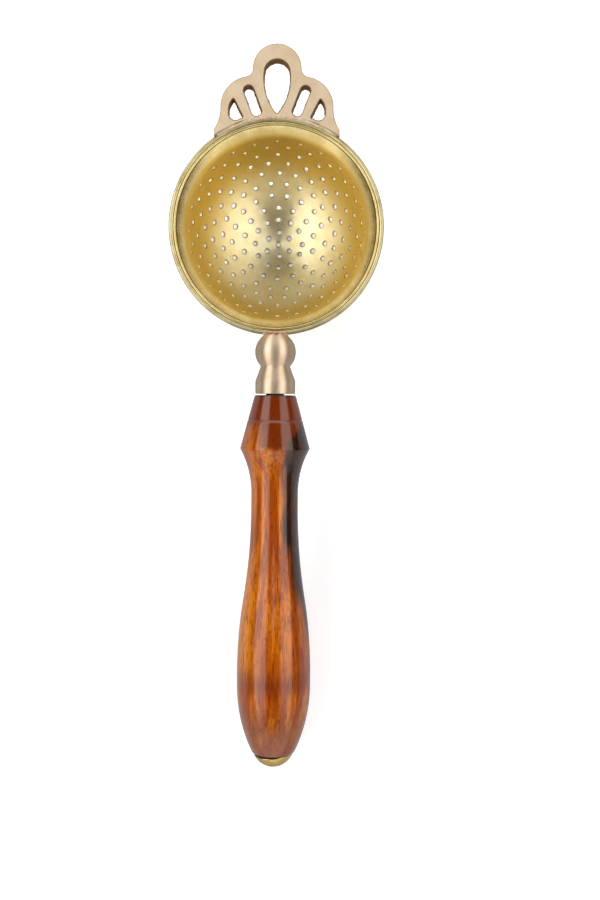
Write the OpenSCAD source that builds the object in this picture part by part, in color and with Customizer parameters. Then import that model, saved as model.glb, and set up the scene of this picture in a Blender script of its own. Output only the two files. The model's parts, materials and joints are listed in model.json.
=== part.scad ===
// Tea strainer: a perforated brass bowl with a soldered rim ring, a cast openwork crown that
// rests on the cup, a turned ball ferrule and a lacquered wooden handle with a brass end cap.
// The sub-parts are drawn with the rim's top face on z = 0, the crown towards +Y and the
// handle along -Y, then set down together as the strainer lies on a table: the dome and the
// handle's belly touch z = 0, and the origin is under the middle of its length.

/* [Bowl] */
// Inside radius of the dome
dome_r = 27.2; // [24:0.1:30]
// Sheet thickness of the bowl
sheet_t = 0.8; // [0.6:0.1:1.2]
// Depth of the dome's centre below the rim's top face
dome_drop = 5; // [4.5:0.1:6]
// Radius that turns the dome's wall outwards into the lip
lip_blend_r = 4; // [3:0.1:5]
// Width of the rolled edge of the lip
lip_edge_w = 1; // [0.8:0.1:1.4]
// Rounding of the top of the lip's edge
lip_edge_round = 0.4; // [0.2:0.05:0.5]
// Radius of the bowl's outer edge, where the rim ring is soldered on
lip_r = 31.1; // [30.5:0.1:31.5]

/* [Perforations] */
// Diameter of each punched hole
hole_d = 1.4; // [1:0.1:1.8]
// Angle between one ring of holes and the next, seen from the dome's centre
ring_step = 8.5; // [8:0.1:8.6]

/* [Rim ring] */
// Outer radius of the rim ring
rim_r = 32.5; // [32:0.1:33.5]
// Height of the rim ring
rim_h = 2.4; // [2:0.1:3]
// Rounding of the rim ring's edges
rim_round = 0.6; // [0.3:0.1:0.7]

/* [Crown] */
// Thickness of the cast crown
crown_t = 3.2; // [2.4:0.1:3.6]
// Angle by which the crown bends down from the rim's plane
crown_bend = 5; // [0:0.5:8]
// Radius of the middle lobe
mid_lobe_r = 7.3; // [7:0.1:7.6]
// Distance of the middle lobe's centre from the bowl's centre
mid_lobe_y = 47.4; // [47:0.1:48]
// Radius of each side lobe
side_lobe_r = 9.2; // [9:0.1:9.5]
// Distance of each side lobe's centre to the side
side_lobe_x = 7.75; // [7.5:0.05:8]
// Distance of each side lobe's centre from the bowl's centre
side_lobe_y = 35.6; // [35.2:0.1:36]
// Radius of the hollow corner between the middle lobe and a side lobe
lobe_fillet_r = 2.5; // [1.5:0.1:3]
// Half width of the crown across its feet
foot_x = 18.8; // [18.4:0.1:19.2]
// Radius of the long hollow curve between each side lobe and its foot
foot_hollow_r = 12; // [10:0.5:14]
// Angle below level at which that curve leaves the side lobe
foot_hollow_turn = 1.5; // [0:0.5:4]

/* [Ferrule] */
// Radius of the turned ball
ball_r = 6.2; // [5.5:0.1:7]
// Distance of the ball's centre from the bowl's centre
ball_y = 37.6; // [37:0.1:38]
// Distance of the crease where the ball meets the cone
crease_y = 41.9; // [41.5:0.1:42.3]
// Radius of the crease
crease_r = 4.5; // [4.2:0.1:4.8]
// Radius of the collar
collar_r = 6.1; // [5.6:0.1:6.6]
// Length of the cone between the crease and the collar
cone_len = 4.5; // [3.5:0.1:6]
// Length of the straight collar
collar_len = 3.9; // [3:0.1:5]
// Depth of the handle's axis below the rim's top face
axis_drop = 1.2; // [0.8:0.1:1.6]

/* [Stud] */
// Radius of the stud that joins the ferrule and the handle
stud_r = 3; // [2.5:0.1:3.2]
// Depth of the stud in the ferrule
stud_in_ferrule = 9.3; // [6:0.1:9.5]
// Depth of the stud in the handle
stud_in_wood = 22; // [12:0.5:30]
// Play round the stud, taken up by its thread and glue
stud_play = 0.05; // [0.02:0.01:0.1]

/* [Handle] */
// Gap left between the collar and the wood
wood_gap = 0.4; // [0.2:0.1:0.8]
// Radius of the wood's top face
top_r = 6.3; // [6:0.1:7]
// Distance of the sharp ridge below the wood's top face
ridge_y = 16.3; // [14:0.1:18]
// Radius of the ridge
ridge_r = 10.7; // [10:0.1:11.5]
// Where the straight part of the waist starts, below the wood's top face
waist_start = 30; // [28:0.5:31]
// Where the straight part of the waist ends
waist_end = 34; // [33:0.5:36]
// Radius of the waist
waist_r = 7.2; // [6.8:0.1:7.6]
// Where the widest part of the belly starts
belly_start = 86; // [84:0.5:87]
// Where the widest part of the belly ends
belly_end = 90; // [89:0.5:92]
// Radius of the belly
belly_r = 11.4; // [11:0.1:12]
// Radius of the long hollow curve from the waist towards the belly
swell_r = 180; // [150:1:200]
// Radius of the curve from the belly to the butt
nose_r = 49; // [45:0.5:52]
// Length of the wood down to the shoulder under the end cap
wood_len = 110.6; // [110:0.1:111.5]
// Distance of the scribed line below the wood's top face
scribe_y = 7.5; // [6:0.1:9]
// Depth of the scribed line
scribe_depth = 0.2; // [0.1:0.05:0.3]

/* [End cap] */
// Outer radius of the cap's dome
cap_r = 6.6; // [6.2:0.1:6.8]
// Thickness of the cap
cap_t = 0.7; // [0.5:0.1:0.9]
// Distance from the wood's shoulder back to the dome's centre
cap_centre = 1.5; // [1.2:0.1:1.8]
// Gap between the wood's shoulder and the cap's edge
cap_gap = 0.7; // [0.6:0.1:0.9]
// Angle by which the cap sits askew
cap_skew = 5; // [0:0.5:5]
// Radius of the pin behind the cap
pin_r = 1.2; // [1:0.1:1.6]
// Length from the cap's outer face to the pin's point
pin_len = 16; // [10:0.5:20]

/* [Hidden] */
$fn = 96;
// How far a cutting tool runs past the face that it cuts
over = 1;
// Holes in each ring, from the single one at the bottom to the ring under the lip
ring_holes = [1, 6, 12, 14, 18, 24, 24, 24, 24, 24, 24];
brass = [0.80, 0.66, 0.34];
pale_brass = [0.85, 0.74, 0.58];
solder = [0.80, 0.66, 0.56];
dark_steel = [0.25, 0.23, 0.21];
lacquered_wood = [0.62, 0.27, 0.07];

// Distances along the handle from the bowl's centre
cone_end = crease_y + cone_len;
collar_end = cone_end + collar_len;
wood_top = collar_end + wood_gap;
wood_end = wood_top + wood_len;
cap_y = wood_end - cap_centre;
bulge_r = ((belly_start - waist_end) ^ 2 + (belly_r - waist_r) ^ 2) / (2 * (belly_r - waist_r))
    - swell_r;            // belly's curve, tangent to the hollow curve above it
swell_turn = atan2(belly_start - waist_end, swell_r + bulge_r - (belly_r - waist_r));

// The slope at which the dome and the curve of the handle's butt both touch the table
dome_out_r = dome_r + sheet_t;
nose_y = wood_top + belly_end;
nose_z = nose_r - belly_r - axis_drop;
rest_tilt = atan2(nose_z + dome_drop, nose_y)
    - asin((nose_r - dome_out_r) / norm([nose_y, nose_z + dome_drop]));
rim_height = dome_out_r + dome_drop * cos(rest_tilt);
crown_end = mid_lobe_y + mid_lobe_r - rim_r;
y_max = rim_r * cos(rest_tilt) + crown_end * cos(rest_tilt - crown_bend)
    + crown_t * sin(rest_tilt - crown_bend);
y_min = -cap_y * cos(rest_tilt) + axis_drop * sin(rest_tilt) - cap_r;

// Points on an arc from angle a0 to a1, from the point numbered first on
function arc(centre, r, a0, a1, steps = 12, first = 0) =
    [for (i = [first:steps]) let (a = a0 + (a1 - a0) * i / steps) centre + r * [cos(a), sin(a)]];

// Sets a sub-part down as the strainer lies on the table
module set_down()
    translate([0, -(y_max + y_min) / 2, rim_height]) rotate([rest_tilt, 0, 0]) children();

// Turns a shape drawn along +Z so that it runs down the handle from distance y
module along_handle(y = 0)
    translate([0, -y, -axis_drop]) rotate([90, 0, 0]) children();

module strainer_bowl() {
    blend = [dome_r + lip_blend_r, -dome_drop];
    inner_end = lip_r - lip_edge_w;
    inner_blend = arc(blend, lip_blend_r, 180, 135);
    outer_blend = arc(blend, lip_blend_r - sheet_t, 135, 180);
    slope_start = inner_blend[len(inner_blend) - 1];
    edge_under = outer_blend[0] + (inner_end - slope_start[0]) * [1, 1];
    color(brass) set_down() difference() {
        union() {
            translate([0, 0, -dome_drop]) difference() {
                sphere(dome_out_r);
                sphere(dome_r);
                cylinder(h = dome_out_r + over, r = dome_out_r + over);
            }
            rotate_extrude() polygon(concat(
                inner_blend,
                [[inner_end, slope_start[1] + inner_end - slope_start[0]]],
                arc([lip_r, 0] - lip_edge_round * [1, 1], lip_edge_round, 90, 0, 6),
                [[lip_r, edge_under[1]], edge_under],
                outer_blend));
        }
        for (ring = [0:len(ring_holes) - 1], i = [0:ring_holes[ring] - 1]) {
            turn = (i + (ring % 2) / 2) * 360 / ring_holes[ring];
            translate([0, 0, -dome_drop]) rotate([0, 180 - ring * ring_step, turn])
                translate([0, 0, dome_r - over])
                cylinder(h = sheet_t + 2 * over, d = hole_d, $fn = 16);
        }
    }
}

// Cross-section of the rim ring, with its three open edges rounded
module rim_section()
    polygon(concat(
        arc([lip_r + rim_round, -rim_round], rim_round, 180, 90, 5),
        arc([rim_r - rim_round, -rim_round], rim_round, 90, 0, 5),
        arc([rim_r - rim_round, rim_round - rim_h], rim_round, 0, -90, 5),
        [[lip_r, -rim_h]]));

module ring_body() rotate_extrude() rim_section();

module rim_ring()
    color(brass) set_down() ring_body();

// A slot with round ends between two points
module slot(from, to, r) {
    turn = atan2(to[1] - from[1], to[0] - from[0]);
    polygon(concat(arc(from, r, turn + 90, turn + 270), arc(to, r, turn - 90, turn + 90)));
}

// The tall pointed opening in the middle lobe: two arcs that meet at the bottom, with a round top
module middle_opening() {
    widest = [3.85, 44];
    tip_y = 33.4;
    round_y = 46.1;
    side_r = (widest[0] ^ 2 + (widest[1] - tip_y) ^ 2) / (2 * widest[0]);
    top_r = sqrt(side_r ^ 2 - (round_y - widest[1]) ^ 2) - side_r + widest[0];
    side = arc([widest[0] - side_r, widest[1]], side_r,
        asin((tip_y - widest[1]) / side_r), asin((round_y - widest[1]) / side_r));
    polygon(concat(
        side,
        arc([0, round_y], top_r, 0, 180, 12, 1),
        [for (i = [len(side) - 2:-1:1]) [-side[i][0], side[i][1]]]));
}

// The leaning drop near each foot: a straight inner side, a round bottom and a bulging outer side
module side_opening() {
    point = [13, 37.9];
    side = [8.7, 34.2];
    side_r = norm(point - side);
    bottom = [12.4, 33.4];
    bottom_r = side[0] + side_r - bottom[0];
    polygon(concat(
        [point, [10.3, 32.5], [10.4, 31.9]],
        arc(bottom, bottom_r, 225, 360, 12),
        arc(side, side_r, 0, atan2(point[1] - side[1], point[0] - side[0]), 8, 1)));
}

// Centre of the circle of radius r that touches two others from outside
function touching(c1, r1, c2, r2, r) =
    let (gap = norm(c2 - c1), along = ((r1 + r) ^ 2 - (r2 + r) ^ 2 + gap ^ 2) / (2 * gap),
        u = (c2 - c1) / gap)
    c1 + along * u + sqrt((r1 + r) ^ 2 - along ^ 2) * [-u[1], u[0]];

// The right half of the crown's outline, from inside the rim ring, round the foot and up to the top
function crown_side() =
    let (mid = [0, mid_lobe_y],
        lobe = [side_lobe_x, side_lobe_y],
        reach = side_lobe_r + foot_hollow_r,
        hollow = lobe + reach * [cos(foot_hollow_turn), -sin(foot_hollow_turn)],
        fillet = touching(mid, mid_lobe_r, lobe, side_lobe_r, lobe_fillet_r),
        at_lobe = atan2(fillet[1] - lobe[1], fillet[0] - lobe[0]),
        at_mid = atan2(fillet[1] - mid[1], fillet[0] - mid[0]))
    concat(
        [[foot_x, rim_r / 2]],
        arc(hollow, foot_hollow_r, 180 + acos((hollow[0] - foot_x) / foot_hollow_r),
            180 - foot_hollow_turn),
        arc(lobe, side_lobe_r, -foot_hollow_turn, at_lobe, 20, 1),
        arc(fillet, lobe_fillet_r, at_lobe + 180, at_mid + 180, 8, 1),
        arc(mid, mid_lobe_r, at_mid, 90, 16, 1));

module crown_plate() {
    slot_top = [8.5, 40.4];
    slot_bottom = [6.15, 34.15];
    slot_r = 1.45;
    half = crown_side();
    difference() {
        polygon(concat(half, [for (i = [len(half) - 2:-1:0]) [-half[i][0], half[i][1]]]));
        for (side = [0, 1]) mirror([side, 0]) {
            slot(slot_top, slot_bottom, slot_r);
            side_opening();
        }
        middle_opening();
    }
}

// The crown, bent down from the rim and cut to fit round the rim ring
module crown_body()
    difference() {
        translate([0, rim_r, 0]) rotate([-crown_bend, 0, 0]) translate([0, -rim_r, -crown_t])
            linear_extrude(crown_t) crown_plate();
        translate([0, 0, -2 * crown_t]) cylinder(h = 4 * crown_t, r = rim_r, $fn = 180);
    }

module crown_lug()
    color(pale_brass) set_down() crown_body();

// Solder in the groove between the rim ring's rounded edge and the crown
module crown_solder() {
    reach = 33;           // degrees to each side
    crest = 0.12;
    color(solder) set_down() difference() {
        rotate([0, 0, 90 - reach]) rotate_extrude(angle = 2 * reach)
            polygon([[rim_r - rim_round, -rim_round], [rim_r - rim_round, crest / 2],
                [rim_r - rim_round / 2, crest], [rim_r, crest], [rim_r, -rim_round]]);
        ring_body();
    }
}

module ferrule_body()
    difference() {
        union() {
            along_handle(ball_y) sphere(ball_r);
            along_handle(crease_y) cylinder(h = cone_len, r1 = crease_r, r2 = collar_r);
            along_handle(cone_end) cylinder(h = collar_len, r = collar_r);
        }
        translate([0, 0, -2 * ball_r]) cylinder(h = 4 * ball_r, r = rim_r, $fn = 180);
        along_handle(collar_end - stud_in_ferrule)
            cylinder(h = stud_in_ferrule + over, r = stud_r + stud_play);
    }

module ball_ferrule()
    color(pale_brass) set_down() ferrule_body();

// Solder above and below the rim ring where the ball is joined to it
module neck_solder() {
    reach = 6.4;          // degrees to each side
    fillet = 0.8;
    film = 0.05;
    film_start = lip_r + 0.2;
    color(solder) set_down() difference() {
        for (side = [0, 1]) translate([0, 0, -side * rim_h]) mirror([0, 0, side])
            rotate([0, 0, -90 - reach]) rotate_extrude(angle = 2 * reach)
            polygon([[rim_r, -rim_round], [rim_r, fillet], [rim_r - fillet, fillet / 3],
                [film_start, film], [film_start, -rim_round]]);
        ring_body();
    }
}

module handle_stud()
    color(dark_steel) set_down() along_handle(collar_end - stud_in_ferrule)
        cylinder(h = stud_in_ferrule + wood_gap + stud_in_wood, r = stud_r);

// Outline of the turned wood, as radius against distance from its top face
module wood_outline() {
    hollow_r = ((waist_start - ridge_y) ^ 2 + (ridge_r - waist_r) ^ 2) / (2 * (ridge_r - waist_r));
    hollow_turn = asin((waist_start - ridge_y) / hollow_r);
    nose_turn = asin((wood_len - belly_end) / nose_r);
    chamfer = 0.2;
    cap_play = 0.2;
    inner_r = cap_r - cap_t - cap_play;
    shoulder = asin(cap_centre / inner_r);
    scribe_r = top_r + (ridge_r - top_r) * scribe_y / ridge_y;
    polygon(concat(
        [[0, 0], [top_r - chamfer, 0], [top_r, chamfer],
         [scribe_r - scribe_depth, scribe_y - scribe_depth], [scribe_r - scribe_depth, scribe_y],
         [scribe_r, scribe_y + scribe_depth], [ridge_r, ridge_y]],
        arc([waist_r + hollow_r, waist_start], hollow_r, 180 + hollow_turn, 180, 16, 1),
        arc([waist_r + swell_r, waist_end], swell_r, 180, 180 - swell_turn, 16),
        arc([belly_r - bulge_r, belly_start], bulge_r, -swell_turn, 0, 16, 1),
        arc([belly_r - nose_r, belly_end], nose_r, 0, nose_turn, 20),
        arc([0, wood_len - cap_centre], inner_r, shoulder, 90, 12)));
}

module wooden_handle()
    color(lacquered_wood) set_down() difference() {
        along_handle(wood_top) rotate_extrude() wood_outline();
        along_handle(wood_top - over) cylinder(h = stud_in_wood + over, r = stud_r + stud_play);
        along_handle(cap_y + cap_r - pin_len) cylinder(h = pin_len, r = pin_r);
    }

module end_cap()
    color(brass) set_down() along_handle(cap_y) rotate([0, cap_skew, 0]) difference() {
        sphere(cap_r);
        sphere(cap_r - cap_t);
        translate([0, 0, -cap_r - over])
            cylinder(h = cap_r + over + cap_centre + cap_gap, r = cap_r + over);
    }

// The pin behind the end cap, driven into the butt of the handle
module cap_pin() {
    reach = sqrt((cap_r - cap_t) ^ 2 - pin_r ^ 2);
    color(brass) set_down() along_handle(cap_y + cap_r - pin_len)
        cylinder(h = pin_len - cap_r + reach, r = pin_r);
}

strainer_bowl();
rim_ring();
crown_lug();
crown_solder();
ball_ferrule();
neck_solder();
handle_stud();
wooden_handle();
end_cap();
cap_pin();
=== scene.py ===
"""Tea strainer on a white table: a perforated brass bowl with a soldered rim ring, a cast openwork
crown, a turned ball ferrule and a lacquered wooden handle with a brass end cap.

Shapes are drawn in millimetres in the strainer's own frame, as in the CAD model: the rim's top face
on z = 0, the crown towards +Y, the handle along -Y. SET_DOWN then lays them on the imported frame.
Turned pieces are drawn along their own +Z axis and laid along the handle by along_handle().
"""

import json
import random
from math import acos, asin, atan2, cos, degrees, dist, hypot, inf, pi, radians, sin, sqrt, tan

import bmesh
import bpy
from mathutils import Matrix, Vector, noise
from mathutils.geometry import delaunay_2d_cdt
from mathutils.kdtree import KDTree


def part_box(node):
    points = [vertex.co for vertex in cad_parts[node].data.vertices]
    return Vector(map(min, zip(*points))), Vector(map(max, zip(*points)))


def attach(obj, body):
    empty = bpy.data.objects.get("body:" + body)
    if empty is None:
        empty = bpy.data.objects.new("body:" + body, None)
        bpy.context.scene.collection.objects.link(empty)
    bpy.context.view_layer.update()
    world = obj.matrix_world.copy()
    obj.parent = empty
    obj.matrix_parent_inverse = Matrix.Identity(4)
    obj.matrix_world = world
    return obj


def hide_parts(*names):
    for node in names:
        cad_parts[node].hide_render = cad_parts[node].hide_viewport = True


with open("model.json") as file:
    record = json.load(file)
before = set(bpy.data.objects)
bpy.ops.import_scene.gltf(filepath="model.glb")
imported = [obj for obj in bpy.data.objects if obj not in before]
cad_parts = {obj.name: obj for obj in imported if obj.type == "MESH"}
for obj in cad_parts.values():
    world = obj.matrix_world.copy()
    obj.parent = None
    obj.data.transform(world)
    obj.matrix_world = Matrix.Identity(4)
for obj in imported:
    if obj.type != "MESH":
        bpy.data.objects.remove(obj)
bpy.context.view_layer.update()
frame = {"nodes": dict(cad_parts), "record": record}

MM = 0.001

# ---------------------------------------------------------------------------
# Driving dimensions, in millimetres and degrees
# ---------------------------------------------------------------------------

DOME_R = 27.2            # inside radius of the bowl
SHEET_T = 0.8            # thickness of the bowl's brass
DOME_DROP = 5.0          # depth of the dome's centre below the rim's top face
BLEND_R = 4.0            # curve from the dome's wall into the lip
LIP_R = 31.1
LIP_BEAD_R = 0.42        # rolled bead along the lip's edge

HOLE_R = 0.7
RING_STEP = radians(8.5)  # angle between two rings of holes, seen from the dome's centre
RING_HOLES = [1, 6, 12, 14, 18, 24, 24, 24, 24, 24, 24]

RIM_R = 32.5
RIM_H = 2.4
RIM_ROUND = 0.6

CROWN_BEND = radians(5)
# Circles (x, y, radius) that hold the crown's openings but not its outer edge, mirrored across x
CROWN_INSIDE = [(0, 47.4, 5.6), (7.75, 35.6, 7.5), (0, 40, 7.0)]
CROWN_UP = Vector((0, sin(CROWN_BEND), cos(CROWN_BEND)))
# EDGE_W is the width of the painted shade along the crown's edges
EDGE_W = 0.4             # dark line along the edges of the crown

BALL_R = 6.2
BALL_Y = 37.6
CREASE_Y = 41.9
CREASE_R = 4.5
COLLAR_R = 6.1
CONE_LEN = 4.5
COLLAR_LEN = 3.9
AXIS_DROP = 1.2          # depth of the handle's axis below the rim's top face

STUD_R = 3.0
STUD_IN_FERRULE = 9.3
STUD_IN_WOOD = 22.0
STUD_PITCH = 1.0

WOOD_GAP = 0.4
WOOD_TOP_R = 6.3
RIDGE_Y, RIDGE_R = 16.3, 10.7
WAIST_START, WAIST_END, WAIST_R = 30.0, 34.0, 7.2
BELLY_START, BELLY_END, BELLY_R = 86.0, 90.0, 11.4
SWELL_R = 180.0          # curve from the waist towards the belly
NOSE_R = 49.0            # curve from the belly to the butt
WOOD_LEN = 110.6
SCRIBE_Y = 7.5

CAP_R = 6.6
CAP_T = 0.7
CAP_CENTRE = 1.5         # depth of the cap's centre inside the butt
CAP_GAP = 0.7
CAP_SKEW = radians(5)
PIN_R = 1.2
PIN_LEN = 16.0

COLLAR_END = CREASE_Y + CONE_LEN + COLLAR_LEN
WOOD_TOP = COLLAR_END + WOOD_GAP
CAP_Y = WOOD_TOP + WOOD_LEN - CAP_CENTRE

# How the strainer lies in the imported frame: the crown's flat underside gives the slope, and the
# middle of the rim ring gives the place
rest_axis = next(m["axis"] for m in frame["record"]["mounts"] if m["name"] == "crown_rest")
REST_TILT = atan2(rest_axis[1], -rest_axis[2]) + CROWN_BEND
ring_low, ring_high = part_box("rim_ring")
RING_MIDDLE = (ring_low + ring_high) / 2
SET_DOWN = (Matrix.Translation(RING_MIDDLE) @ Matrix.Rotation(REST_TILT, 4, "X")
            @ Matrix.Translation((0, 0, RIM_H / 2 * MM)))


def along_handle(y):
    """Lays a piece that is drawn along +Z down the handle, starting y from the bowl's centre."""
    return (SET_DOWN @ Matrix.Translation((0, -y * MM, -AXIS_DROP * MM))
            @ Matrix.Rotation(radians(90), 4, "X"))


# ---------------------------------------------------------------------------
# Mesh tools
# ---------------------------------------------------------------------------

ON_AXIS = 1e-6           # a smaller radius than this is a single point on the axis


def arc(centre, r, a0, a1, steps):
    """Points on an arc from angle a0 to a1, in degrees."""
    angles = [radians(a0 + (a1 - a0) * i / steps) for i in range(steps + 1)]
    return [(centre[0] + r * cos(a), centre[1] + r * sin(a)) for a in angles]


def turns(count):
    """The angles of count points spread evenly round a circle."""
    return [2 * pi * i / count for i in range(count)]


def bevelled(corners, steps):
    """An outline through (x, y, radius) corners, each rounded to about its radius. An open outline
    has radius 0 at both ends."""
    points = []
    for i, (x, y, r) in enumerate(corners):
        here = Vector((x, y))
        if r == 0:
            points.append((x, y))
            continue
        back = (Vector(corners[i - 1][:2]) - here).normalized()
        ahead = (Vector(corners[(i + 1) % len(corners)][:2]) - here).normalized()
        reach = r / tan(back.angle(ahead) / 2)
        start, end = here + back * reach, here + ahead * reach
        for k in range(steps + 1):
            t = k / steps
            points.append(tuple(start * (1 - t) ** 2 + here * 2 * t * (1 - t) + end * t ** 2))
    return points


def straight(start, end, parts):
    """Evenly spaced points from start to the last one before end."""
    (x0, y0), (x1, y1) = start, end
    return [(x0 + (x1 - x0) * k / parts, y0 + (y1 - y0) * k / parts) for k in range(parts)]


def spaced(points, step):
    """The same closed outline, with its long straight runs in parts of about one step."""
    out = []
    for start, end in zip(points, points[1:] + points[:1]):
        out += straight(start, end, max(1, int(dist(start, end) / step)))
    return out


def added(verts, points):
    """Adds points to a list of vertices, and returns their numbers in it."""
    first = len(verts)
    verts.extend(points)
    return list(range(first, len(verts)))


def bridge(rings):
    """Faces from each ring of vertices to the next."""
    faces = []
    for low, high in zip(rings, rings[1:]):
        for i in range(len(low)):
            j = (i + 1) % len(low)
            faces.append([low[i], low[j], high[j], high[i]])
    return faces


def turned(outline, count, shape=lambda r, z, angle: (r, z)):
    """A closed outline of (radius, height) turned about Z. shape(radius, height, angle) may move
    each point, and returns its new radius and height."""
    verts, rings = [], []
    for r, z in outline:
        if r < ON_AXIS:
            rings.append(added(verts, [(0, 0, z)]))
            continue
        ring = []
        for a in turns(count):
            new_r, new_z = shape(r, z, a)
            ring.append((new_r * cos(a), new_r * sin(a), new_z))
        rings.append(added(verts, ring))
    faces = []
    for low, high in zip(rings, rings[1:] + rings[:1]):
        if len(low) == len(high) == 1:
            continue
        for i in range(count):
            j = (i + 1) % count
            face = [low[i % len(low)], low[j % len(low)], high[j % len(high)], high[i % len(high)]]
            faces.append(list(dict.fromkeys(face)))
    return verts, faces


def wander(seed, size, *point):
    """Smooth noise from -1 to 1 that changes over about size."""
    p = Vector((*point, 0, 0)[:3]) / size
    return noise.noise(p + Vector((seed * 7.3, seed * 3.1, seed * 5.7)))


def add_piece(name, node, mesh_data, place, finish):
    """Makes a piece from vertices and faces in millimetres, lays it in the frame, and lets it stand
    for its CAD node."""
    mesh = bpy.data.meshes.new(name)
    verts, faces = mesh_data
    mesh.from_pydata([Vector(v) * MM for v in verts], [], faces)
    work = bmesh.new()
    work.from_mesh(mesh)
    bmesh.ops.recalc_face_normals(work, faces=work.faces)
    work.to_mesh(mesh)
    work.free()
    show_piece(name, node, mesh, place, finish)


def show_piece(name, node, mesh, place, finish):
    """Lays a mesh in the frame with its finish, and lets it stand for its CAD node."""
    mesh.transform(place)
    mesh.shade_smooth()
    mesh.materials.clear()
    mesh.materials.append(finish)
    piece = bpy.data.objects.new(name, mesh)
    bpy.context.scene.collection.objects.link(piece)
    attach(piece, "root")
    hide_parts(node)


# ---------------------------------------------------------------------------
# Material tools
# ---------------------------------------------------------------------------

def srgb(r, g, b):
    """A colour given as 0 to 255 display values, as the linear colour that shaders take."""
    return [((c / 255 + 0.055) / 1.055) ** 2.4 if c > 10 else c / 255 / 12.92
            for c in (r, g, b)] + [1.0]


class Finish:
    """A procedural material round one Principled shader. Patterns are in millimetres of the frame
    that the piece is drawn in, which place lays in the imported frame."""

    def __init__(self, name, place, **settings):
        self.material = bpy.data.materials.new(name)
        self.material.use_nodes = True
        self.nodes = self.material.node_tree.nodes
        self.links = self.material.node_tree.links
        self.shader = self.nodes["Principled BSDF"]
        for socket, value in settings.items():
            self.shader.inputs[socket.replace("_", " ")].default_value = value
        self.place = place
        back = place.inverted()
        self.coords = self.node("ShaderNodeMapping")
        self.coords.inputs["Scale"].default_value = [1 / MM] * 3
        self.coords.inputs["Rotation"].default_value = back.to_euler()
        self.coords.inputs["Location"].default_value = back.translation / MM
        self.links.new(self.node("ShaderNodeTexCoord").outputs["Object"], self.coords.inputs[0])
        split = self.node("ShaderNodeSeparateXYZ")
        self.links.new(self.coords.outputs[0], split.inputs[0])
        self.x, self.y, self.z = split.outputs
        self.height = None

    def node(self, kind, **settings):
        """A new node of this kind with its settings."""
        made = self.nodes.new(kind)
        for key, value in settings.items():
            setattr(made, key, value)
        return made

    def set(self, socket, value):
        """Puts a plain value in a socket, or links an output to it."""
        if isinstance(value, bpy.types.NodeSocket):
            self.links.new(value, socket)
        else:
            socket.default_value = value

    def math(self, operation, *values):
        """The result of a Math node on these values."""
        made = self.node("ShaderNodeMath", operation=operation)
        for socket, value in zip(made.inputs, values):
            self.set(socket, value)
        return made.outputs[0]

    def radius(self):
        """Distance from the piece's own Z axis."""
        return self.distance(self.x, 0, self.y, 0)

    def distance(self, x, x0, y, y0):
        """Distance of (x, y) from (x0, y0)."""
        dx, dy = self.math("SUBTRACT", x, x0), self.math("SUBTRACT", y, y0)
        return self.math("SQRT", self.math("ADD", self.math("MULTIPLY", dx, dx),
                                           self.math("MULTIPLY", dy, dy)))

    def noise(self, size, stretch=(1, 1, 1), detail=3, rough=0.5, shift=0.0, warp=0.0):
        """Noise from 0 to 1 whose features are about size, longer by stretch along each axis."""
        place = self.node("ShaderNodeMapping")
        place.inputs["Scale"].default_value = [1 / s for s in stretch]
        place.inputs["Location"].default_value = (shift, shift * 1.7, shift * 0.6)
        self.links.new(self.coords.outputs[0], place.inputs["Vector"])
        made = self.node("ShaderNodeTexNoise")
        made.inputs["Scale"].default_value = 1 / size
        made.inputs["Detail"].default_value = detail
        made.inputs["Roughness"].default_value = rough
        made.inputs["Distortion"].default_value = warp
        self.links.new(place.outputs[0], made.inputs["Vector"])
        return made.outputs[0]

    def step(self, value, low, high):
        """0 where value is below low, 1 above high, smooth between. high may be below low."""
        made = self.node("ShaderNodeMapRange", interpolation_type="SMOOTHSTEP")
        rising = high > low
        for socket, number in zip(("From Min", "From Max", "To Min", "To Max"),
                                  (min(low, high), max(low, high), 1 - rising, int(rising))):
            made.inputs[socket].default_value = number
        self.set(made.inputs["Value"], value)
        return made.outputs[0]

    def band(self, value, low, high, soft):
        """1 between low and high, 0 outside, over a soft edge."""
        return self.math("MULTIPLY", self.step(value, low - soft, low + soft),
                         self.step(value, high + soft, high - soft))

    def mix(self, factor, a, b):
        """Colour a where factor is 0, b where it is 1."""
        made = self.node("ShaderNodeMix", data_type="RGBA")
        self.set(made.inputs[0], factor)
        self.set(made.inputs[6], a)
        self.set(made.inputs[7], b)
        return made.outputs[2]

    def blend(self, value, low, high):
        """Low to high as value goes from 0 to 1."""
        return self.math("ADD", self.math("MULTIPLY", value, high - low), low)

    def bump(self, height, depth):
        """Adds a relief: height from 0 to 1, depth in millimetres."""
        raised = self.math("MULTIPLY", height, depth)
        self.height = self.math("ADD", self.height, raised) if self.height else raised

    def ramp(self, value, stops):
        """A level that follows value through (place, level) stops."""
        made = self.node("ShaderNodeValToRGB")
        marks = made.color_ramp.elements
        for place, _ in stops[2:]:
            marks.new(place)
        for mark, (place, level) in zip(marks, stops):
            mark.position = place
            mark.color = (level, level, level, 1)
        self.set(made.inputs[0], value)
        return made.outputs[0]

    def brushed_round(self, amount):
        """Micro-grooves that run round the drawn Z axis, so that reflections spread across them."""
        self.shader.inputs["Anisotropic"].default_value = amount
        self.shader.inputs["Anisotropic Rotation"].default_value = 0.25
        around = self.node("ShaderNodeCombineXYZ")
        self.set(around.inputs[0], self.math("MULTIPLY", self.y, -1))
        self.set(around.inputs[1], self.x)
        turn = self.node("ShaderNodeMapping", vector_type="VECTOR")
        turn.inputs["Rotation"].default_value = self.place.to_euler()
        self.links.new(around.outputs[0], turn.inputs["Vector"])
        self.links.new(turn.outputs[0], self.shader.inputs["Tangent"])

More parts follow.
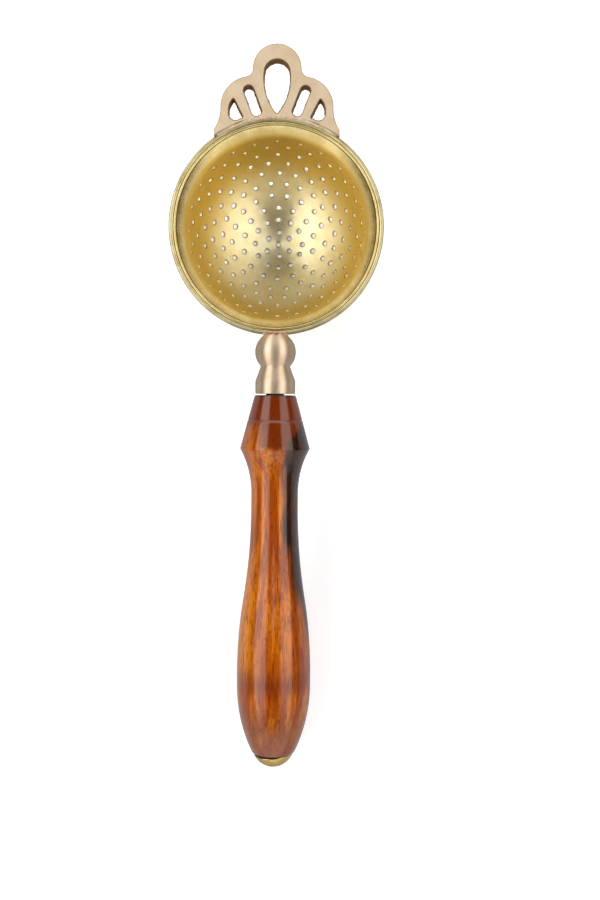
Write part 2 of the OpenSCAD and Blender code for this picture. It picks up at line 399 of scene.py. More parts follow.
    def done(self, colour, rough):
        """The finished material, with its colour, roughness and relief."""
        self.set(self.shader.inputs["Base Color"], colour)
        self.set(self.shader.inputs["Roughness"], rough)
        if self.height:
            made = self.node("ShaderNodeBump")
            made.inputs["Strength"].default_value = 1
            made.inputs["Distance"].default_value = MM
            self.links.new(self.height, made.inputs["Height"])
            self.links.new(made.outputs[0], self.shader.inputs["Normal"])
        return self.material


# ---------------------------------------------------------------------------
# Materials
# ---------------------------------------------------------------------------

WOOD_EXPOSURE = 0.95


def bowl_brass():
    """Spun brass, pale on the polished lip, with a painted highlight that makes it pale in the
    middle and painted bounce light that makes it deeper yellow up the wall.
    """
    f = Finish("bowl_brass", SET_DOWN, Metallic=1.0)
    f.brushed_round(0.75)
    radius = f.radius()
    grain = f.noise(0.3, detail=4, rough=0.7)
    smudge = f.noise(7, detail=4, rough=0.6)
    # Paler in the middle as a painted highlight, deeper yellow up the wall as painted bounce light
    colour = f.mix(f.step(smudge, 0.4, 0.7), srgb(242, 231, 190), srgb(232, 218, 166))
    colour = f.mix(f.step(radius, 18, 26), colour, srgb(224, 192, 98))
    flare = f.mix(f.step(f.math("ADD", smudge, f.math("MULTIPLY", grain, 0.3)), 0.5, 0.8),
                  srgb(227, 206, 146), srgb(205, 184, 122))
    colour = f.mix(f.step(radius, 26.8, 29.2), colour, flare)
    # Specks at the foot of the lip, and painted shade in the crease inside its rolled edge
    speck = f.math("MULTIPLY", f.step(grain, 0.55, 0.68), 0.45)
    colour = f.mix(f.math("MULTIPLY", speck, f.band(radius, 28.6, 29.9, 0.25)), colour,
                   srgb(120, 102, 58))
    crease = f.band(radius, 30.0, 30.22, 0.08)
    colour = f.mix(f.math("MULTIPLY", crease, 0.85), colour, srgb(92, 80, 40))
    # Painted shade as a dark edge round each hole, and painted light on its wall, as the white
    # floor lights it from outside
    below = f.math("ADD", f.z, DOME_DROP)
    depth = f.math("SUBTRACT", f.distance(radius, 0, below, 0), DOME_R)
    dome = f.step(below, 0, -1)
    edge = f.math("MULTIPLY", f.band(depth, 0.03, 0.14, 0.03), dome)
    colour = f.mix(f.math("MULTIPLY", edge, 0.8), colour, srgb(112, 86, 44))
    hole_wall_light = f.math("MULTIPLY", f.band(depth, 0.2, SHEET_T - 0.1, 0.04), dome)
    colour = f.mix(hole_wall_light, colour, srgb(255, 246, 220))
    f.bump(grain, 0.005)
    satin = f.blend(f.noise(1.2, detail=5), 0.33, 0.43)
    glossier_lip = f.math("MULTIPLY", f.step(radius, 28, 30), 0.15)
    return f.done(colour, f.math("SUBTRACT", satin, glossier_lip))


def rim_brass():
    """The rim ring's brass, with painted shade down its side and in the groove that parts it
    from the lip.
    """
    f = Finish("rim_brass", SET_DOWN, Metallic=1.0)
    f.brushed_round(0.4)
    radius = f.radius()
    grain = f.noise(0.4, detail=4, rough=0.7)
    smudge = f.noise(6, detail=4, rough=0.65, shift=3)
    colour = f.mix(f.step(smudge, 0.45, 0.7), srgb(236, 220, 168), srgb(200, 180, 122))
    # Painted shade down the ring's side and in the groove by the lip
    side = f.step(radius, 31.95, 32.3)
    colour = f.mix(f.math("MULTIPLY", side, f.blend(smudge, 0.6, 1.0)), colour, srgb(104, 92, 60))
    groove = f.step(radius, 31.4, 31.15)
    colour = f.mix(f.math("MULTIPLY", groove, 0.85), colour, srgb(84, 72, 36))
    f.bump(grain, 0.004)
    return f.done(colour, f.blend(f.noise(1.5, detail=5, shift=5), 0.24, 0.36))


def cast_brass():
    """The crown's dull, pinkish cast brass."""
    f = Finish("cast_brass", SET_DOWN, Metallic=1.0)
    grain = f.noise(0.3, detail=5, rough=0.75)
    cloud = f.noise(5, detail=3)
    colour = f.mix(f.step(cloud, 0.35, 0.65), srgb(220, 201, 174), srgb(212, 191, 161))
    colour = f.mix(f.math("MULTIPLY", f.step(grain, 0.5, 0.72), 0.3), colour, srgb(200, 168, 130))
    # The openings' walls and edges are painted brown as shade, and the outer edge is less than half
    # as brown
    face = f.node("ShaderNodeVectorMath", operation="DOT_PRODUCT")
    f.links.new(f.node("ShaderNodeNewGeometry").outputs["Normal"], face.inputs[0])
    face.inputs[1].default_value = SET_DOWN.to_3x3() @ CROWN_UP
    wall = f.step(f.math("ABSOLUTE", face.outputs["Value"]), 0.997, 0.93)
    side = f.math("ABSOLUTE", f.x)
    inside = 0.45
    for x, y, reach in CROWN_INSIDE:
        inside = f.math("MAXIMUM", inside,
                        f.step(f.distance(side, x, f.y, y), reach + 0.2, reach - 0.2))
    near_edge = f.node("ShaderNodeAttribute", attribute_name="near_edge").outputs["Fac"]
    brown = f.math("MULTIPLY", inside, f.math("MAXIMUM", wall, f.step(near_edge, 0.1, 0.5)))
    colour = f.mix(brown, colour, srgb(132, 100, 66))
    f.bump(grain, 0.02)
    return f.done(colour, f.blend(grain, 0.56, 0.7))


def solder(name, pale, dull):
    """Solder in two clouded colours."""
    f = Finish(name, SET_DOWN, Metallic=1.0)
    grain = f.noise(0.25, detail=4, rough=0.7)
    cloud = f.noise(1.2, detail=3)
    f.bump(grain, 0.015)
    return f.done(f.mix(f.step(cloud, 0.35, 0.65), pale, dull), f.blend(grain, 0.5, 0.65))


def turned_brass():
    """The ferrule's pale brass, with fine rings from the lathe."""
    f = Finish("turned_brass", along_handle(BALL_Y), Metallic=1.0)
    f.brushed_round(0.85)
    rings = f.noise(0.12, stretch=(60, 60, 1), detail=3, rough=0.7)
    cloud = f.noise(4, detail=3)
    colour = f.mix(f.step(cloud, 0.35, 0.7), srgb(222, 200, 174), srgb(210, 184, 154))
    f.bump(rings, 0.003)
    return f.done(colour, f.blend(rings, 0.46, 0.6))


def seen(r, g, b):
    """The albedo of wood that shows as about this display colour under the softboxes."""
    return [c * WOOD_EXPOSURE for c in srgb(r, g, b)[:3]] + [1.0]


def lacquered_wood():
    """Amber and brown streaked wood with dark heartwood down one side, under a clear lacquer."""
    f = Finish("lacquered_wood", along_handle(WOOD_TOP), Coat_Weight=0.9, Coat_Roughness=0.07,
               Coat_IOR=1.5, Specular_IOR_Level=0.2, Specular_Tint=(1.0, 0.65, 0.3, 1.0))
    fibre = f.noise(0.4, stretch=(1, 1, 16), detail=5, rough=0.65, warp=0.2)
    streak = f.noise(2.4, stretch=(1, 1, 10), detail=3, rough=0.55, shift=2)
    patch = f.noise(9, stretch=(1, 1, 2.2), detail=2, shift=11)
    colour = f.mix(f.step(streak, 0.39, 0.61), seen(206, 111, 4), seen(157, 66, 2))
    colour = f.mix(f.math("MULTIPLY", f.step(patch, 0.42, 0.66), 0.6), colour, seen(150, 60, 4))
    # The cone is redder, but for an amber patch low on its left
    cone = f.step(f.z, RIDGE_Y + 1, RIDGE_Y - 1.5)
    amber = f.math("MULTIPLY", f.step(f.x, -2.5, -6), f.step(f.z, 7, 12))
    redder = f.math("MULTIPLY", cone, f.math("SUBTRACT", 0.95, f.math("MULTIPLY", amber, 0.8)))
    colour = f.mix(redder, colour, seen(106, 34, 3))
    # A reddish band, then the browner butt
    colour = f.mix(f.math("MULTIPLY", f.band(f.z, 84, 90, 3), 0.7), colour, seen(122, 46, 14))
    colour = f.mix(f.math("MULTIPLY", f.step(f.z, 90, 104), 0.6), colour, seen(118, 57, 3))
    # A golden stretch along the belly's left
    golden = f.math("MULTIPLY", f.step(f.x, -4, -8), f.band(f.z, 50, 84, 8))
    colour = f.mix(f.math("MULTIPLY", golden, 0.6), colour, seen(226, 136, 10))
    # Near-black heartwood down one side, from the cone to the middle of the handle
    down = f.math("DIVIDE", f.z, WOOD_LEN)
    edge = f.ramp(down, [(0.0, 1.0), (0.06, 0.8), (0.13, 0.33), (0.2, 0.19), (0.38, 0.2),
                         (0.52, 0.5), (0.7, 1.0)])
    start = f.math("MULTIPLY", edge, BELLY_R)
    wavy = f.math("ADD", f.x, f.math("MULTIPLY", f.math("SUBTRACT", streak, 0.5), 5))
    heart = f.step(f.math("SUBTRACT", wavy, start), -0.8, 1.6)
    colour = f.mix(f.math("MULTIPLY", heart, 0.98), colour, seen(12, 3, 4))
    # Brown fibres and dark pores
    colour = f.mix(f.math("MULTIPLY", f.step(fibre, 0.48, 0.64), 0.7), colour, seen(92, 30, 4))
    pores = f.noise(0.3, stretch=(1, 1, 7), detail=2, shift=4)
    colour = f.mix(f.math("MULTIPLY", f.step(pores, 0.6, 0.7), 0.5), colour, seen(64, 22, 5))
    # Dark ends: at the top partly scorched wood and partly painted shade under the collar, at the
    # butt painted shade under the cap's rim
    top = f.step(f.math("ADD", f.z, f.math("MULTIPLY", streak, -1.4)), 0.1, -0.5)
    ends = f.math("MAXIMUM", top, f.step(f.z, WOOD_LEN - 0.5, WOOD_LEN - 0.1))
    colour = f.mix(f.math("MULTIPLY", ends, 0.9), colour, seen(30, 16, 10))
    f.bump(f.noise(4, stretch=(1, 1, 2), detail=1, shift=7), 0.05)
    return f.done(colour, 0.28)


def cap_brass(place):
    """The end cap's yellower brass."""
    f = Finish("cap_brass", place, Metallic=1.0)
    f.brushed_round(0.4)
    rings = f.noise(0.15, stretch=(40, 40, 1), detail=3, rough=0.7)
    cloud = f.noise(3, detail=3)
    colour = f.mix(f.step(cloud, 0.35, 0.7), srgb(208, 180, 114), srgb(188, 156, 88))
    f.bump(rings, 0.006)
    return f.done(colour, f.blend(cloud, 0.24, 0.38))


def stud_steel():
    """Grimy steel."""
    f = Finish("stud_steel", along_handle(COLLAR_END), Metallic=1.0)
    grime = f.noise(0.6, detail=4)
    colour = f.mix(grime, srgb(96, 88, 78), srgb(44, 38, 34))
    f.bump(grime, 0.02)
    return f.done(colour, f.blend(grime, 0.4, 0.6))


# ---------------------------------------------------------------------------
# Bowl
# ---------------------------------------------------------------------------

HOLE_SIDES = 20
# Each punched hole from the inner face to the outer: distance outside the hole's wall, depth in the
# sheet. The punch dishes the inside a little and leaves a low burr outside.
HOLE_SECTION = [(0.55, 0.0), (0.32, 0.012), (0.15, 0.045), (0.05, 0.1), (0.0, 0.2), (-0.03, 0.5),
                (0.0, 0.8), (0.04, 0.93), (0.12, 0.96), (0.25, 0.86), (0.55, 0.8)]
NO_BURR_Z = -0.95        # holes that point further down than this are flush outside, on the table
HOLE_SCATTER = 0.2       # how far the punch strays along a ring of holes
BOWL_SIDES = 240
GRID_STEP = 1.0          # between the dome's own vertices
GRID_GAP = 0.3           # between them and a hole's dished edge


def toward(theta, phi):
    """The direction from the dome's centre that is theta from straight down."""
    return Vector((sin(theta) * cos(phi), sin(theta) * sin(phi), -cos(theta)))


def on_dome(theta, phi, depth=0.0):
    """A point of the dome, theta from its bottom, depth outside its inner face."""
    r = DOME_R + depth
    return Vector((r * sin(theta) * cos(phi), r * sin(theta) * sin(phi),
                   -DOME_DROP - r * cos(theta)))


def flat(direction):
    """Where a direction from the dome's centre lies when the dome is laid out flat."""
    theta = acos(max(-1, min(1, -direction.z)))
    phi = atan2(direction.y, direction.x)
    return Vector((DOME_R * theta * cos(phi), DOME_R * theta * sin(phi)))


def bowl_holes():
    """The holes in staggered rings, each a little off its place and size, as (direction, radius
    at each of its sides)."""
    rng = random.Random(11)
    holes = []
    for ring, count in enumerate(RING_HOLES):
        for i in range(count):
            theta = ring * RING_STEP + rng.gauss(0, 0.005)
            phi = 2 * pi * (i + ring % 2 / 2) / count
            phi += rng.gauss(0, HOLE_SCATTER / (DOME_R * max(0.14, sin(theta))))
            size = HOLE_R * rng.uniform(0.86, 1.04)
            lobes = [(n, rng.uniform(0, 0.05), rng.uniform(0, 2 * pi)) for n in (2, 3, 5)]
            radii = [size * (1 + sum(a * sin(n * 2 * pi * k / HOLE_SIDES + p)
                                     for n, a, p in lobes)) for k in range(HOLE_SIDES)]
            holes.append((toward(theta, phi), radii))
    return holes


def round_hole(direction, radii, reach):
    """The directions of a hole's sides from the dome's centre, reach outside its wall."""
    side = direction.orthogonal().normalized()
    up = direction.cross(side)
    return [(direction + (side * cos(a) + up * sin(a)) * (r + reach) / DOME_R).normalized()
            for a, r in zip(turns(HOLE_SIDES), radii)]


def between_holes(holes):
    """Directions in rings all over the dome, clear of every hole."""
    step = GRID_STEP / DOME_R
    clear = HOLE_R + HOLE_SECTION[0][0] + GRID_GAP
    found = []
    for row in range(1, int(pi / 2 / step)):
        count = max(6, int(2 * pi * sin(row * step) / step))
        for i in range(count):
            point = toward(row * step, 2 * pi * (i + row % 2 / 2) / count)
            if all((point - hole).length * DOME_R > clear for hole, _ in holes):
                found.append(point)
    return found


def lip_outline():
    """From the dome's inner wall over the lip and its rolled edge, and back to the outer wall."""
    blend = (DOME_R + BLEND_R, -DOME_DROP)
    inner = arc(blend, BLEND_R, 180, 135, 14)
    outer = arc(blend, BLEND_R - SHEET_T, 135, 180, 12)
    rolled = arc((LIP_R - LIP_BEAD_R, -LIP_BEAD_R), LIP_BEAD_R, 160, 0, 12)
    crease = (rolled[0][0] - 0.12, rolled[0][1] - 0.1)
    # The underside ends 0.9 lower than 45 degrees would take it, so the rolled edge is thick
    under = (LIP_R, outer[0][1] + LIP_R - 0.9 - outer[0][0])
    return (inner[1:-1] + straight(inner[-1], crease, 8) + [crease] + rolled
            + straight(under, outer[0], 6) + outer[:-1])


def bowl_mesh():
    """The bowl as one closed skin. Its dome is laid out flat and divided into triangles between
    the holes, and the two faces are then joined through the holes and over the lip."""
    holes = bowl_holes()
    flats = []
    loops = [added(flats, [flat(aim) for aim in round_hole(*hole, HOLE_SECTION[0][0])])
             for hole in holes]
    brim = added(flats, [Vector((cos(a), sin(a))) * DOME_R * pi / 2 for a in turns(BOWL_SIDES)])
    added(flats, [flat(point) for point in between_holes(holes)])
    edges = [edge for loop in loops + [brim] for edge in zip(loop, loop[1:] + loop[:1])]
    points, _, triangles, sources, _, _ = delaunay_2d_cdt(flats, edges, [], 1, 1e-7)
    place = {source: i for i, origin in enumerate(sources) for source in origin}
    hole_at = {place[v]: n for n, loop in enumerate(loops) for v in loop}

    verts, faces = [], []
    inner, outer = [], []
    for p in points:
        theta, phi = p.length / DOME_R, atan2(p.y, p.x)
        inner += added(verts, [on_dome(theta, phi)])
        outer += added(verts, [on_dome(theta, phi, SHEET_T)])
    for triangle in triangles:
        at = {hole_at.get(v) for v in triangle}
        if len(at) > 1 or None in at:
            faces.append([inner[v] for v in triangle])
            faces.append([outer[v] for v in reversed(triangle)])

    def joined_through(loop, rings):
        return bridge([[inner[place[v]] for v in loop], *rings, [outer[place[v]] for v in loop]])

    for (direction, radii), loop in zip(holes, loops):
        deepest = SHEET_T if direction.z < NO_BURR_Z else inf
        rings = []
        for reach, depth in HOLE_SECTION[1:-1]:
            r = DOME_R + min(depth, deepest)
            rings.append(added(verts, [aim * r + Vector((0, 0, -DOME_DROP))
                                       for aim in round_hole(direction, radii, reach)]))
        faces += joined_through(loop, rings)
    lip = [added(verts, [Vector((r * cos(a), r * sin(a), z)) for a in turns(BOWL_SIDES)])
           for r, z in lip_outline()]
    return verts, faces + joined_through(brim, lip)


# ---------------------------------------------------------------------------
# Rim ring, crown and solder
# ---------------------------------------------------------------------------

RING_NOISE_R = 32.0      # where the noise of the ring's shape is read
RING_SIDES = 480

CROWN_VOXEL = 0.15
CROWN_SMOOTHING = 7
CROWN_LUMPS_INSIDE, CROWN_LUMPS_OUTSIDE = 0.16, 0.03

SOLDER_STEPS, SOLDER_SIDES = 160, 14
SOLDER_NOISE_R = 33.0    # where the noise of the solder's lumps is read
NECK_SOLDER = {"start": -97, "end": -83, "height": 0.4, "width": 1.5, "lumps": 0.9, "ends": 1.4}


def ring_mesh():
    """The rim ring, worked by hand: not quite even at its sides and top."""
    outline = bevelled([(LIP_R, 0, RIM_ROUND), (RIM_R, 0, RIM_ROUND), (RIM_R, -RIM_H, RIM_ROUND),
                        (LIP_R, -RIM_H, 0.15)], 7)

    def hand_worked(r, z, a):
        x, y = RING_NOISE_R * cos(a), RING_NOISE_R * sin(a)
        top = 0.04 * wander(2, 11, x, y) - 0.03 if z > -1 else 0
        return min(RIM_R, r + 0.03 * wander(1, 9, x, y) - 0.02), z + top

    return turned(outline, RING_SIDES, hand_worked)


def crown_mesh():
    """The CAD crown, remeshed finely, with its edges softened and the openings' walls left rough
    from the saw and the file."""
    mesh = frame["nodes"]["crown_lug"].data.copy()
    mesh.transform(SET_DOWN.inverted())
    rough = bpy.data.objects.new("crown_work", mesh)
    bpy.context.scene.collection.objects.link(rough)
    remesh = rough.modifiers.new("voxels", "REMESH")
    remesh.mode = "VOXEL"
    remesh.voxel_size = CROWN_VOXEL * MM
    soft = rough.modifiers.new("soft", "SMOOTH")
    soft.factor = 0.5
    soft.iterations = CROWN_SMOOTHING
    graph = bpy.context.evaluated_depsgraph_get()
    made = bpy.data.meshes.new_from_object(rough.evaluated_get(graph))
    bpy.data.objects.remove(rough)
    made.name = "crown"
    places = [(v.co.copy(), v.normal.copy()) for v in made.vertices]
    moved = []
    for place, normal in places:
        p = place / MM
        wall = 1 - abs(normal.dot(CROWN_UP))
        inside = any(hypot(abs(p.x) - x, p.y - y) < reach for x, y, reach in CROWN_INSIDE)
        amount = CROWN_LUMPS_INSIDE if inside else CROWN_LUMPS_OUTSIDE
        lump = wander(3, 1.1, p.x, p.y, p.z) + 0.5 * wander(4, 0.45, p.x, p.y, p.z)
        face = 0.02 * wander(5, 4, p.x, p.y, p.z)
        moved.extend(place + normal * (amount * wall * lump + face * (1 - wall)) * MM)
    # How near each point is to an edge: 1 on the walls, 0 from EDGE_W away
    walls = [place for place, normal in places if abs(normal.dot(CROWN_UP)) < 0.8]
    tree = KDTree(len(walls))
    for i, place in enumerate(walls):
        tree.insert(place, i)
    tree.balance()
    near = [max(0, 1 - tree.find(place)[2] / (EDGE_W * MM)) for place, _ in places]
    made.vertices.foreach_set("co", moved)
    made.attributes.new("near_edge", "FLOAT", "POINT").data.foreach_set("value", near)
    return made


def solder_strip(seed, centre_r, centre_z, start, end, height, width, lumps, ends):
    """A lumpy strip of solder along the rim, from angle start to end in degrees. It narrows
    towards both ends, sooner for a smaller value of ends. height is from its middle up."""
    verts, rings = [], []
    for i in range(SOLDER_STEPS + 1):
        t = i / SOLDER_STEPS
        a = radians(start + (end - start) * t)
        x, y = SOLDER_NOISE_R * cos(a), SOLDER_NOISE_R * sin(a)
        taper = min(1, ends * sin(pi * t)) ** 0.5
        ring = []
        for b in turns(SOLDER_SIDES):
            lump = 1 + lumps * wander(seed, 1.6, x, y, 2 * cos(b))
            r = centre_r + width / 2 * cos(b) * lump * taper
            ring.append((r * cos(a), r * sin(a), centre_z + height * sin(b) * lump * taper))
        rings.append(added(verts, ring))
    return verts, bridge(rings) + [rings[0], rings[-1]]


def joined(*meshes):
    """Several meshes as one."""
    verts, faces = [], []
    for more_verts, more_faces in meshes:
        faces += [[v + len(verts) for v in face] for face in more_faces]
        verts += more_verts
    return verts, faces


# ---------------------------------------------------------------------------
# Ferrule, stud, wood and cap
# ---------------------------------------------------------------------------

FERRULE_SIDES = 160
FERRULE_STEP = 0.35      # along its outline
WOOD_SIDES = 192
WOOD_STEP = 1.2
STUD_SIDES = 64
CAP_SIDES = 128
PIN_SIDES = 32
PIN_RINGS = 6


def ferrule_mesh():
    """Ball, cone and collar, drawn from the ball's centre. The ball's inner side is pressed flat on
    the rim ring."""
    crease, end = CREASE_Y - BALL_Y, COLLAR_END - BALL_Y
    bore_r, bore_end = STUD_R + 0.1, end - STUD_IN_FERRULE
    ball = [(0, -BALL_R)] + arc((0, 0), BALL_R, -90, degrees(acos(CREASE_R / BALL_R)), 60)[1:]
    cone = bevelled([(CREASE_R, crease + 0.1, 0), (COLLAR_R, crease + CONE_LEN, 0.8),
                     (COLLAR_R, end, 0.3), (bore_r, end, 0.15), (bore_r, bore_end, 0.1),
                     (0, bore_end, 0)], 6)
    verts, faces = turned(spaced(ball + cone, FERRULE_STEP), FERRULE_SIDES)
    pressed = []
    for x, y, z in verts:
        if hypot(x, BALL_Y + z) < RIM_R:
            z = sqrt(RIM_R ** 2 - x ** 2) - BALL_Y
        pressed.append((x, y, z))
    return pressed, faces


def bow_r(length, rise):
    """Radius of the arc that sets out along the axis and has risen by rise after length."""
    return (length ** 2 + rise ** 2) / (2 * rise)


def wood_outline():
    """The handle from the stud's bore over cone, scribed line, ridge, waist, belly and nose to the
    cap's seat and the pin's bore."""
    def on_cone(*heights):
        return [(WOOD_TOP_R + (RIDGE_R - WOOD_TOP_R) * z / RIDGE_Y, z) for z in heights]

    bore_r = STUD_R + 0.05
    scribe_r = on_cone(SCRIBE_Y)[0][0]
    hollow_r = bow_r(WAIST_START - RIDGE_Y, RIDGE_R - WAIST_R)
    hollow_turn = degrees(asin((WAIST_START - RIDGE_Y) / hollow_r))
    bulge_r = bow_r(BELLY_START - WAIST_END, BELLY_R - WAIST_R) - SWELL_R
    swell_turn = degrees(atan2(BELLY_START - WAIST_END, SWELL_R + bulge_r - (BELLY_R - WAIST_R)))
    nose_turn = degrees(asin((WOOD_LEN - BELLY_END) / NOSE_R))
    seat_r = CAP_R - CAP_T - 0.2
    seat_y = WOOD_LEN - CAP_CENTRE
    seat_start = degrees(asin(CAP_CENTRE / seat_r))
    pin_top = seat_y + CAP_R - PIN_LEN
    return (
        [(bore_r, 0.0), (WOOD_TOP_R - 0.35, 0), (WOOD_TOP_R - 0.18, 0.04),
         (WOOD_TOP_R - 0.05, 0.14), (WOOD_TOP_R, 0.3)]
        + on_cone(*range(1, 8), SCRIBE_Y - 0.22)
        + [(scribe_r - 0.1, SCRIBE_Y - 0.12), (scribe_r - 0.16, SCRIBE_Y),
           (scribe_r - 0.08, SCRIBE_Y + 0.12)]
        + on_cone(SCRIBE_Y + 0.24, *range(9, 16), RIDGE_Y - 0.5)
        + [(RIDGE_R - 0.05, RIDGE_Y - 0.16), (RIDGE_R - 0.02, RIDGE_Y),
           (RIDGE_R - 0.1, RIDGE_Y + 0.16)]
        + arc((WAIST_R + hollow_r, WAIST_START), hollow_r, 180 + hollow_turn, 180, 28)[1:]
        + arc((WAIST_R + SWELL_R, WAIST_END), SWELL_R, 180, 180 - swell_turn, 30)
        + arc((BELLY_R - bulge_r, BELLY_START), bulge_r, -swell_turn, 0, 30)[1:]
        + arc((BELLY_R - NOSE_R, BELLY_END), NOSE_R, 0, nose_turn, 40)
        + arc((0, seat_y), seat_r, seat_start, 75, 12)
        + [(PIN_R, seat_y + sqrt(seat_r ** 2 - PIN_R ** 2)), (PIN_R, pin_top), (0, pin_top)]
        + [(0, STUD_IN_WOOD), (bore_r, STUD_IN_WOOD)])


def wood_mesh():
    """The handle, turned by hand: not quite round outside, but true in its bores."""
    def hand_turned(r, z, a):
        if r < STUD_R + 0.1:
            return r, z
        x, y = r * cos(a), r * sin(a)
        return r - 0.02 + 0.035 * wander(6, 14, x, y, z / 1.6), z

    return turned(spaced(wood_outline(), WOOD_STEP), WOOD_SIDES, hand_turned)


def stud_mesh():
    """A threaded stud with chamfered ends."""
    chamfer, depth = 0.3, 0.5
    length = STUD_IN_FERRULE + WOOD_GAP + STUD_IN_WOOD
    rows = int(length / (STUD_PITCH / 8))
    outline = [(0, 0), (STUD_R - 2 * chamfer, 0)]
    outline += [(STUD_R - depth / 2, chamfer + (length - 2 * chamfer) * i / rows)
                for i in range(rows + 1)]
    outline += [(STUD_R - 2 * chamfer, length), (0, length)]

    def thread(r, z, a):
        if not chamfer <= z <= length - chamfer:
            return r, z
        phase = (z / STUD_PITCH + a / (2 * pi)) % 1
        return r + depth * (abs(phase - 0.5) - 0.25), z

    return turned(outline, STUD_SIDES, thread)


def cap_mesh():
    """The thin domed cap, with a flat edge that stands off the wood."""
    edge_y = CAP_CENTRE + CAP_GAP
    start = degrees(asin(edge_y / CAP_R))
    outer = arc((0, 0), CAP_R, start, 90, 40)
    inner = arc((0, 0), CAP_R - CAP_T, 90, start + 2, 40)
    outer[-1], inner[0] = (0, CAP_R), (0, CAP_R - CAP_T)
    edge = [(CAP_R * cos(radians(start)) - inset, edge_y - 0.02) for inset in (0.48, 0.12)]
    return turned(outer + inner + edge, CAP_SIDES)


def pin_mesh():
    """A ringed pin that tapers to its point."""
    reach = sqrt((CAP_R - CAP_T) ** 2 - PIN_R ** 2)
    length = PIN_LEN - CAP_R + reach
    outline = [(0, 0), (0.3, 0.5), (0.7, 1.2), (PIN_R - 0.1, 2.0)]
    for k in range(PIN_RINGS):
        z = 2.6 + k * 1.2
        outline += [(PIN_R, z), (PIN_R, z + 0.5), (PIN_R - 0.12, z + 0.7)]
    outline += [(PIN_R, length - 0.4), (PIN_R, length), (0, length)]
    return turned(outline, PIN_SIDES)


# ---------------------------------------------------------------------------
# The pieces
# ---------------------------------------------------------------------------

crown_solder = solder("crown_solder", srgb(222, 202, 174), srgb(200, 178, 150))
neck_solder = solder("neck_solder", srgb(226, 190, 164), srgb(140, 96, 72))
cap_place = along_handle(CAP_Y) @ Matrix.Rotation(CAP_SKEW, 4, "Y")
cap_finish = cap_brass(cap_place)

add_piece("bowl", "strainer_bowl", bowl_mesh(), SET_DOWN, bowl_brass())
add_piece("rim", "rim_ring", ring_mesh(), SET_DOWN, rim_brass())
show_piece("crown", "crown_lug", crown_mesh(), SET_DOWN, cast_brass())
add_piece("crown_joint", "crown_solder",
          solder_strip(8, RIM_R - 0.05, -0.14, start=56, end=124, height=0.28, width=1.1,
                       lumps=0.12, ends=12), SET_DOWN, crown_solder)
add_piece("neck_joint", "neck_solder",
          joined(solder_strip(9, RIM_R - 0.1, 0, **NECK_SOLDER),
                 solder_strip(10, RIM_R - 0.1, -RIM_H, **NECK_SOLDER)), SET_DOWN, neck_solder)
add_piece("ferrule", "ball_ferrule", ferrule_mesh(), along_handle(BALL_Y),
          turned_brass())
add_piece("stud", "handle_stud", stud_mesh(),
          along_handle(COLLAR_END - STUD_IN_FERRULE), stud_steel())
add_piece("handle", "wooden_handle", wood_mesh(), along_handle(WOOD_TOP),
          lacquered_wood())
add_piece("cap", "end_cap", cap_mesh(), cap_place, cap_finish)
add_piece("pin", "cap_pin", pin_mesh(), along_handle(CAP_Y + CAP_R - PIN_LEN),
          cap_finish)

# ---------------------------------------------------------------------------
# Floor, light and camera
# ---------------------------------------------------------------------------

# Lengths on the stage are in metres
FLOOR_SIZE = 6.0
FLOOR_Z = -0.0002
FLOOR_DARK = [0.36, 0.36, 0.36, 1]      # as it lights the strainer
FLOOR_WHITES = [[0.86, 0.86, 0.86, 1], [0.89, 0.89, 0.89, 1]]
WHITE_IN_GLOSS = 0.25                   # how much of the white shows in reflections

BOX_WIDTH, BOX_LENGTH = 0.6, 1.9
BOX_DISTANCE = 0.7
BOX_Y = -0.02
BOX_LEAN = 43                           # degrees from straight above
LEFT_POWER, RIGHT_POWER = 10.0, 8.0     # watts

CAMERA_OFFSET = Vector((0.00788, -0.08977, 0.26563))  # from the middle of the rim ring
CAMERA_TILT, CAMERA_TURN = radians(4.784), radians(0.45)


def add_floor():
    """A floor that is white to the camera, helped by a glow that grows with distance, and lights
    the strainer as a darker floor would."""
    mesh = bpy.data.meshes.new("floor")
    half = FLOOR_SIZE / 2
    mesh.from_pydata([(-half, -half, 0), (half, -half, 0), (half, half, 0), (-half, half, 0)], [],
                     [(0, 1, 2, 3)])
    f = Finish("floor", Matrix.Identity(4), Emission_Strength=1.0)
    ray = f.node("ShaderNodeLightPath").outputs
    to_camera = ray["Is Camera Ray"]
    in_gloss = f.math("MULTIPLY", ray["Is Glossy Ray"], WHITE_IN_GLOSS)
    lift = f.blend(f.step(f.radius(), 300, 900), 0.34, 1.0)
    f.set(f.shader.inputs["Emission Color"], f.math("MULTIPLY", to_camera, lift))
    pale = f.mix(f.noise(400, detail=1), *FLOOR_WHITES)
    colour = f.mix(f.math("MAXIMUM", to_camera, in_gloss), FLOOR_DARK, pale)
    mesh.materials.append(f.done(colour, 0.9))
    floor = bpy.data.objects.new("floor", mesh)
    bpy.context.scene.collection.objects.link(floor)
    floor.location.z = FLOOR_Z


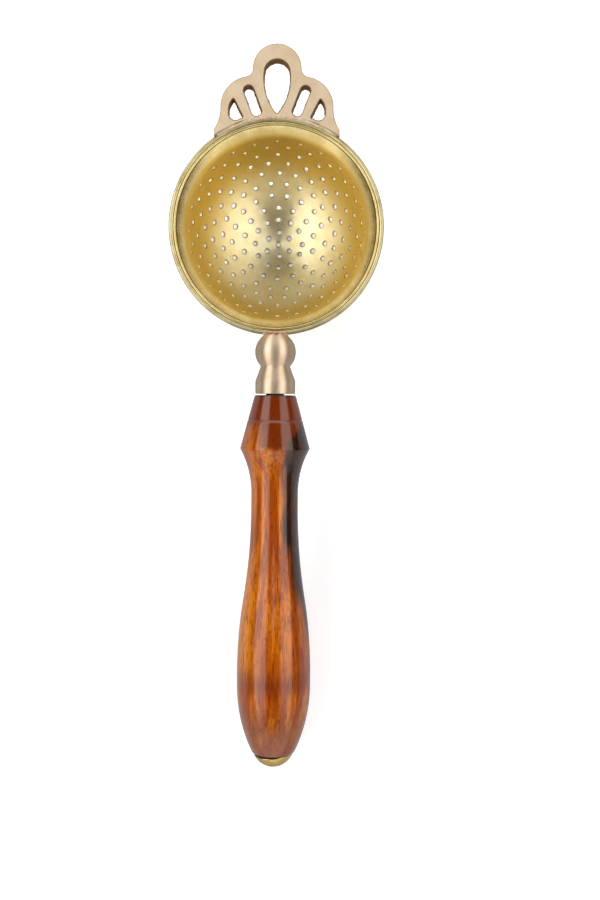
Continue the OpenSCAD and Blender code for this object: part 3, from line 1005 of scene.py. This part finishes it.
def add_softbox(name, lean, power):
    """A strip softbox along the handle, leaning over it by lean degrees from straight above. It is
    brightest in the middle and fades towards its edges."""
    light = bpy.data.lights.new(name, "AREA")
    light.shape = "RECTANGLE"
    light.size, light.size_y = BOX_WIDTH, BOX_LENGTH
    light.energy = power
    light.use_nodes = True
    nodes, links = light.node_tree.nodes, light.node_tree.links
    across = nodes.new("ShaderNodeSeparateXYZ")
    links.new(nodes.new("ShaderNodeTexCoord").outputs["UV"], across.inputs[0])
    product = nodes.new("ShaderNodeMath")
    product.operation = "MULTIPLY"
    for axis, soft in enumerate((0.2, 0.4)):
        centred = nodes.new("ShaderNodeMath")
        centred.operation = "PINGPONG"
        centred.inputs[1].default_value = 0.5
        links.new(across.outputs[axis], centred.inputs[0])
        fade = nodes.new("ShaderNodeMapRange")
        fade.interpolation_type = "SMOOTHSTEP"
        fade.inputs["From Max"].default_value = soft
        links.new(centred.outputs[0], fade.inputs["Value"])
        links.new(fade.outputs[0], product.inputs[axis])
    links.new(product.outputs[0], nodes["Emission"].inputs["Strength"])
    box = bpy.data.objects.new(name, light)
    a = radians(lean)
    box.location = (BOX_DISTANCE * sin(a), BOX_Y, BOX_DISTANCE * cos(a))
    box.rotation_euler = (0, a, 0)
    bpy.context.scene.collection.objects.link(box)


def add_world():
    """A backdrop that is white to the camera. As light it is brighter beyond the crown and beyond
    the butt, dim from both sides, and dark overhead between the softboxes but for a small bright
    spot."""
    world = bpy.data.worlds.new("studio")
    world.use_nodes = True
    nodes, links = world.node_tree.nodes, world.node_tree.links

    def fade(value, low, high, at_low, at_high):
        made = nodes.new("ShaderNodeMapRange")
        made.interpolation_type = "SMOOTHSTEP"
        for socket, number in zip(("From Min", "From Max", "To Min", "To Max"),
                                  (low, high, at_low, at_high)):
            made.inputs[socket].default_value = number
        links.new(value, made.inputs["Value"])
        return made.outputs[0]

    def work(operation, *values):
        made = nodes.new("ShaderNodeMath")
        made.operation = operation
        for socket, value in zip(made.inputs, values):
            links.new(value, socket)
        return made.outputs[0]

    split = nodes.new("ShaderNodeSeparateXYZ")
    links.new(nodes.new("ShaderNodeTexCoord").outputs["Generated"], split.inputs[0])
    _, north, up = split.outputs
    low_down = work("MULTIPLY", fade(up, 0.4, 0.7, 1.0, 0.08), fade(north, -0.4, 0.4, 1.0, 0.6))
    lengthwise = work("MULTIPLY", fade(work("ABSOLUTE", north), 0.35, 0.85, 0.1, 1.3), low_down)
    half_way_up = work("MULTIPLY", fade(up, 0.6, 0.85, 1.0, 0.08), fade(up, 0.2, 0.5, 0.0, 1.0))
    beyond_crown = work("MULTIPLY", fade(north, 0.35, 0.85, 0.0, 2.1), half_way_up)
    overhead = work("ADD", fade(up, 0.7, 0.95, 0.0, 0.03), fade(up, 0.965, 1.0, 0.0, 1.0))
    glow = work("MAXIMUM", work("ADD", lengthwise, beyond_crown), overhead)
    to_camera = nodes.new("ShaderNodeLightPath").outputs["Is Camera Ray"]
    links.new(work("MAXIMUM", glow, to_camera), nodes["Background"].inputs["Color"])
    bpy.context.scene.world = world


def add_camera():
    """About 270 mm above the bowl, looking down, a little tilted towards the crown."""
    lens = bpy.data.cameras.new("camera")
    lens.lens, lens.sensor_width = 36, 36
    lens.clip_start = 0.01
    camera = bpy.data.objects.new("camera", lens)
    camera.location = RING_MIDDLE + CAMERA_OFFSET
    camera.rotation_euler = (CAMERA_TILT, 0, CAMERA_TURN)
    bpy.context.scene.collection.objects.link(camera)
    bpy.context.scene.camera = camera


add_floor()
add_softbox("left_box", -BOX_LEAN, LEFT_POWER)
add_softbox("right_box", BOX_LEAN, RIGHT_POWER)
add_world()
add_camera()
bpy.context.scene.view_settings.view_transform = "Standard"
